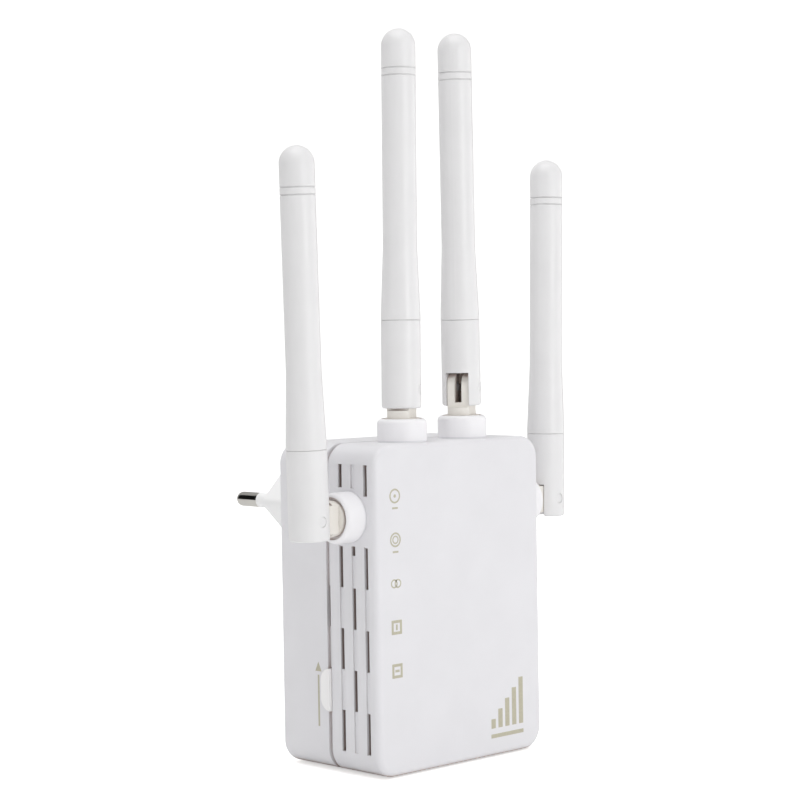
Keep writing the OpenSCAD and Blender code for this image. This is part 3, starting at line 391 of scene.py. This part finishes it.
NODE_LOOKS = {
    "front_shell": "front_half", "rear_shell": "rear_half", "rating_label": "label",
    "housing_screws": "steel", "plug_block": "plug", "plug_pins": "nickel",
    "plug_sleeves": "plug", "contact_springs": "brass", "power_board": "board",
    "transformer_core": "dark", "transformer_coil": "tape", "bulk_capacitors": "capacitor",
    "output_capacitors": "capacitor", "mains_fuse": "fuse", "choke": "dark",
    "power_chips": "dark", "dc_connectors": "connector", "dc_wires": "wire",
    "main_board": "board", "main_chips": "dark", "shield_can": "steel",
    "thermal_pad": "pad", "heat_sink": "aluminium", "coax_sockets": "brass",
    "leds": "led", "light_guide": "clear", "lan_jack": "jack", "wan_jack": "jack",
    "jack_contacts": "brass", "board_screws": "steel", "wps_button": "button",
    "switch_plunger": "dark", "tact_switch": "steel",
}
ANTENNA_LOOKS = {
    "pigtail": "cable", "knuckle": "neck", "hinge_pins": "antenna",
    "sleeve": "fork", "tube": "antenna", "radiator": "dipole",
}
for part, look in ANTENNA_LOOKS.items():
    for place in ("left", "top_left", "top_right", "right"):
        NODE_LOOKS[f"{part}_{place}"] = look


def finish_node(name, obj):
    """Gives one CAD node its material in place of the plain one it comes with."""
    obj.data.materials.clear()
    obj.data.materials.append(looks[NODE_LOOKS[name]])


for name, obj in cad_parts.items():
    finish_node(name, obj)


# ---------- printed symbols ----------

INK_HEIGHT = 0.02 * MM


def polygon_mesh(name, outlines):
    """Thin flat piece in X and Z made of convex outlines, each a list of points."""
    verts = []
    faces = []
    for outline in outlines:
        base = len(verts)
        count = len(outline)
        for x, z in outline:
            verts.append((x, 0.0, z))
        for x, z in outline:
            verts.append((x, -INK_HEIGHT, z))
        faces.append(tuple(range(base + count - 1, base - 1, -1)))
        faces.append(tuple(range(base + count, base + 2 * count)))
        for i in range(count):
            j = (i + 1) % count
            faces.append((base + i, base + j, base + count + j, base + count + i))
    mesh = bpy.data.meshes.new(name)
    mesh.from_pydata(verts, [], faces)
    mesh.validate()
    mesh.update()
    obj = bpy.data.objects.new(name, mesh)
    bpy.context.scene.collection.objects.link(obj)
    obj.data.materials.append(looks["ink"])
    return obj


def rectangle(x, z, w, h):
    return [(x - w / 2, z - h / 2), (x + w / 2, z - h / 2), (x + w / 2, z + h / 2), (x - w / 2, z + h / 2)]


def arc(x, z, inner, outer, start, end, steps=20):
    """Ring sector as a run of four-sided outlines, angles in degrees from +X."""
    pieces = []
    for i in range(steps):
        a = math.radians(start + (end - start) * i / steps)
        b = math.radians(start + (end - start) * (i + 1) / steps)
        pieces.append([
            (x + inner * math.cos(a), z + inner * math.sin(a)),
            (x + outer * math.cos(a), z + outer * math.sin(a)),
            (x + outer * math.cos(b), z + outer * math.sin(b)),
            (x + inner * math.cos(b), z + inner * math.sin(b)),
        ])
    return pieces


def disc(x, z, radius, steps=24):
    return [(x + radius * math.cos(2 * math.pi * i / steps),
             z + radius * math.sin(2 * math.pi * i / steps)) for i in range(steps)]


def frame_outline(x, z, size, line):
    inner = size - line
    return [
        rectangle(x, z + inner / 2, size, line),
        rectangle(x, z - inner / 2, size, line),
        rectangle(x - inner / 2, z, line, size - 2 * line),
        rectangle(x + inner / 2, z, line, size - 2 * line),
    ]


def bars(x, z, width, tallest, count):
    """Ascending bars standing on z, centred on x."""
    step = width / count
    return [rectangle(x + (i - (count - 1) / 2) * step, z + tallest * (i + 1) / count / 2,
                      step * 0.62, tallest * (i + 1) / count) for i in range(count)]


# Heights are in millimetres above the bottom of the box
ICON = 4.2 * MM
LINE = 0.55 * MM
INDICATOR_X = -27.4 * MM
INDICATOR_TOP = 83.0
INDICATOR_PITCH = 12.9
FRONT_PRINT_X = 19.5 * MM
FRONT_PRINT_LOW = 8.6
FRONT_PRINT_W = 15.5 * MM
FRONT_PRINT_H = 14.5 * MM
BASE_LINE_W = 14.5 * MM
BASE_LINE_H = 1.2 * MM
BASE_LINE_DROP = 2.4 * MM
SIDE_PRINT_DEPTH = 26.0
SIDE_PRINT_TOP = 31.0
TRIANGLE = 1.5 * MM
RULE_W = 0.7 * MM
RULE_H = 15.5 * MM
RULE_DROP = 10.2 * MM
PRINT_GAP = 0.002 * MM


def ring(x, inner, outer):
    """Full ring at the height of the symbol's middle, its radii given as shares of an icon."""
    return arc(x, 0, ICON * inner, ICON * outer, 0, 360, 32)


def indicator_outlines():
    """Five plain symbols: two ring marks over a rule, two linked rings, two marked squares."""
    x = INDICATOR_X
    wide_ring = ring(x, 0.4, 0.52)
    rule = [rectangle(x, -ICON * 0.85, ICON * 0.55, LINE)]
    linked = ring(x - ICON * 0.18, 0.22, 0.32) + ring(x + ICON * 0.18, 0.22, 0.32)
    square = frame_outline(x, 0, ICON, LINE * 1.5)
    return [
        wide_ring + [disc(x, 0, ICON * 0.12)] + rule,
        wide_ring + ring(x, 0.2, 0.3) + rule,
        linked,
        square + [rectangle(x, 0, LINE * 1.3, ICON * 0.4)],
        square + [rectangle(x, 0, ICON * 0.4, LINE * 1.3)],
    ]


def on_front(symbol, z_mm):
    """Lays a symbol on the face, its own zero at the given height."""
    symbol.data.transform(Matrix.Translation((0, FRONT_Y - PRINT_GAP, height(z_mm))))
    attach(symbol, "housing")


def indicator_symbols():
    for i, outline in enumerate(indicator_outlines()):
        symbol = polygon_mesh(f"indicator_print_{i + 1}", outline)
        on_front(symbol, INDICATOR_TOP - i * INDICATOR_PITCH)


def front_symbol():
    """Plain ascending bars over a base line, low on the right of the face."""
    outline = bars(FRONT_PRINT_X, 0, FRONT_PRINT_W, FRONT_PRINT_H, 5)
    outline.append(rectangle(FRONT_PRINT_X, -BASE_LINE_DROP, BASE_LINE_W, BASE_LINE_H))
    on_front(polygon_mesh("front_print", outline), FRONT_PRINT_LOW)


def side_symbol():
    """Small triangle and a rule below it, beside the button on the left side."""
    half = TRIANGLE * 0.9
    outline = [[(-half, -half), (half, -half), (0, TRIANGLE)]]
    outline.append(rectangle(0, -RULE_DROP, RULE_W, RULE_H))
    symbol = polygon_mesh("side_print", outline)
    turn = Matrix.Rotation(math.radians(-90), 4, "Z")
    place = Matrix.Translation((LEFT_X - PRINT_GAP, depth(SIDE_PRINT_DEPTH), height(SIDE_PRINT_TOP)))
    symbol.data.transform(place @ turn)
    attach(symbol, "housing")


indicator_symbols()
front_symbol()
side_symbol()


# ---------- floor, light and camera ----------

# The sweep: a floor that runs into a curve and a wall behind, all lined up with the camera
FLOOR_GAP = 0.4 * MM
FLOOR_FRONT = -2.5
CURVE_START = 1.6
CURVE_RADIUS = 1.2
CURVE_STEPS = 12
SWEEP_HEIGHT = 4.5
SWEEP_HALF_WIDTH = 6.0
FLOOR_GLOW = 0.55
FLOOR_MIRRORED = (0.66, 0.65, 0.63)

# Even light from all round, and the brightness that shiny metal mirrors from below to above
AIR_STRENGTH = 0.59
MIRRORED_BELOW = 0.9
MIRRORED_ABOVE = 1.0
MIRRORED_BAND = ((0.4, 0.7), (0.49, 0.01), (0.86, 0.01), (0.93, 1.0))

# Soft lights: name, place, size, power, and whether shiny metal mirrors them
LIGHTS = (
    ("front", (0.0, -1.3, 0.15), 0.6, 4.1, True),
    ("top", (-0.25, -0.15, 1.2), 0.8, 5.5, True),
    ("behind", (0.3, 0.9, 0.9), 0.8, 4.7, False),
    ("right", (1.1, -0.5, 0.2), 0.6, 1.85, True),
    ("rim", (-0.6, 0.9, 0.3), 0.6, 0.8, False),
)
LIGHT_TARGET = (0, -0.05, 0.03)

# Angles in degrees: round from straight ahead, down from level, and roll
CAMERA_AZIMUTH = -44.1
CAMERA_DOWN = 1.985
CAMERA_ROLL = -0.913
CAMERA_LENS = 97.3
CAMERA_PLACE = (-0.4665, FRONT_Y - 0.456, BOTTOM_Z + 0.1331)


def sweep_profile():
    """Distance and height of each line across the sweep, from the front edge to the top."""
    low = BOTTOM_Z - FLOOR_GAP
    points = [(FLOOR_FRONT, low), (CURVE_START, low)]
    for i in range(1, CURVE_STEPS + 1):
        turn = math.radians(90 * i / CURVE_STEPS)
        points.append((CURVE_START + CURVE_RADIUS * math.sin(turn),
                       low + CURVE_RADIUS * (1 - math.cos(turn))))
    points.append((CURVE_START + CURVE_RADIUS, low + SWEEP_HEIGHT))
    return points


def pale_paper():
    """Paper that reads as white to the camera without lighting the object, and mirrors as grey."""
    look = Look("pale_paper")
    path = look.nodes.new("ShaderNodeLightPath")
    cloud = look.spread(look.noise(40, 3), 0, 1)
    paper = look.mix(cloud, (0.93, 0.93, 0.93), (0.95, 0.95, 0.95))
    look.colour(look.mix(path.outputs["Is Glossy Ray"], paper, FLOOR_MIRRORED))
    look.roughness(look.spread(look.noise(60, 3), 0.85, 0.95))
    look.set("Emission Color", (1, 1, 1, 1))
    glow = look.math("MULTIPLY", path.outputs["Is Camera Ray"], FLOOR_GLOW)
    look.link(glow, look.shader.inputs["Emission Strength"])
    return look.material


def sweep():
    """Plain pale floor that curves up into a backdrop behind the object."""
    profile = sweep_profile()
    verts = []
    for distance, z in profile:
        verts.append((-SWEEP_HALF_WIDTH, distance, z))
        verts.append((SWEEP_HALF_WIDTH, distance, z))
    faces = [(2 * i, 2 * i + 1, 2 * i + 3, 2 * i + 2) for i in range(len(profile) - 1)]
    mesh = bpy.data.meshes.new("floor")
    mesh.from_pydata(verts, [], faces)
    mesh.update()
    for face in mesh.polygons:
        face.use_smooth = True
    obj = bpy.data.objects.new("floor", mesh)
    bpy.context.scene.collection.objects.link(obj)
    obj.rotation_euler[2] = math.radians(CAMERA_AZIMUTH)
    obj.data.materials.append(pale_paper())


def area_light(name, place, size, power, mirrored):
    """Square soft light; one that isn't mirrored leaves no bright patch on shiny metal."""
    data = bpy.data.lights.new(name, "AREA")
    data.shape = "SQUARE"
    data.size = size
    data.energy = power
    obj = bpy.data.objects.new(name, data)
    obj.location = place
    aim = Vector(LIGHT_TARGET) - Vector(place)
    obj.rotation_euler = aim.to_track_quat("-Z", "Y").to_euler()
    obj.visible_glossy = mirrored
    bpy.context.scene.collection.objects.link(obj)


def grey(value):
    return (value, value, value, 1)


def mirrored_band(nodes, links):
    """Brightness by direction, from straight down to straight up, with a dark band above level."""
    direction = nodes.new("ShaderNodeTexCoord")
    split = nodes.new("ShaderNodeSeparateXYZ")
    links.new(direction.outputs["Generated"], split.inputs["Vector"])
    place = nodes.new("ShaderNodeMapRange")
    place.inputs["From Min"].default_value = -1.0
    links.new(split.outputs["Z"], place.inputs["Value"])
    band = nodes.new("ShaderNodeValToRGB")
    band.color_ramp.elements[0].color = grey(MIRRORED_BELOW)
    band.color_ramp.elements[1].color = grey(MIRRORED_ABOVE)
    for position, value in MIRRORED_BAND:
        band.color_ramp.elements.new(position).color = grey(value)
    links.new(place.outputs["Result"], band.inputs["Fac"])
    return band.outputs["Color"]


def soft_air():
    """Even white surroundings, with a dark band that only shiny surfaces mirror."""
    world = bpy.data.worlds.new("studio_air")
    world.use_nodes = True
    nodes = world.node_tree.nodes
    links = world.node_tree.links
    path = nodes.new("ShaderNodeLightPath")
    pick = nodes.new("ShaderNodeMix")
    pick.data_type = "RGBA"
    links.new(path.outputs["Is Glossy Ray"], pick.inputs[0])
    pick.inputs[6].default_value = grey(1)
    links.new(mirrored_band(nodes, links), pick.inputs[7])
    background = nodes["Background"]
    links.new(pick.outputs[2], background.inputs["Color"])
    background.inputs["Strength"].default_value = AIR_STRENGTH
    bpy.context.scene.world = world


def camera():
    """In front and to the left, a little above the box's middle, slightly rolled."""
    data = bpy.data.cameras.new("camera")
    data.lens = CAMERA_LENS
    data.sensor_width = 36
    data.clip_start = 0.01
    obj = bpy.data.objects.new("camera", data)
    turn = math.radians(CAMERA_AZIMUTH)
    down = math.radians(CAMERA_DOWN)
    aim = Vector((-math.sin(turn) * math.cos(down), math.cos(turn) * math.cos(down), -math.sin(down)))
    rotation = aim.to_track_quat("-Z", "Y").to_matrix().to_4x4()
    roll = Matrix.Rotation(math.radians(CAMERA_ROLL), 4, "Z")
    obj.matrix_world = Matrix.Translation(CAMERA_PLACE) @ rotation @ roll
    bpy.context.scene.collection.objects.link(obj)
    bpy.context.scene.camera = obj


sweep()
for light in LIGHTS:
    area_light(*light)
soft_air()
camera()
bpy.context.scene.view_settings.view_transform = "Standard"
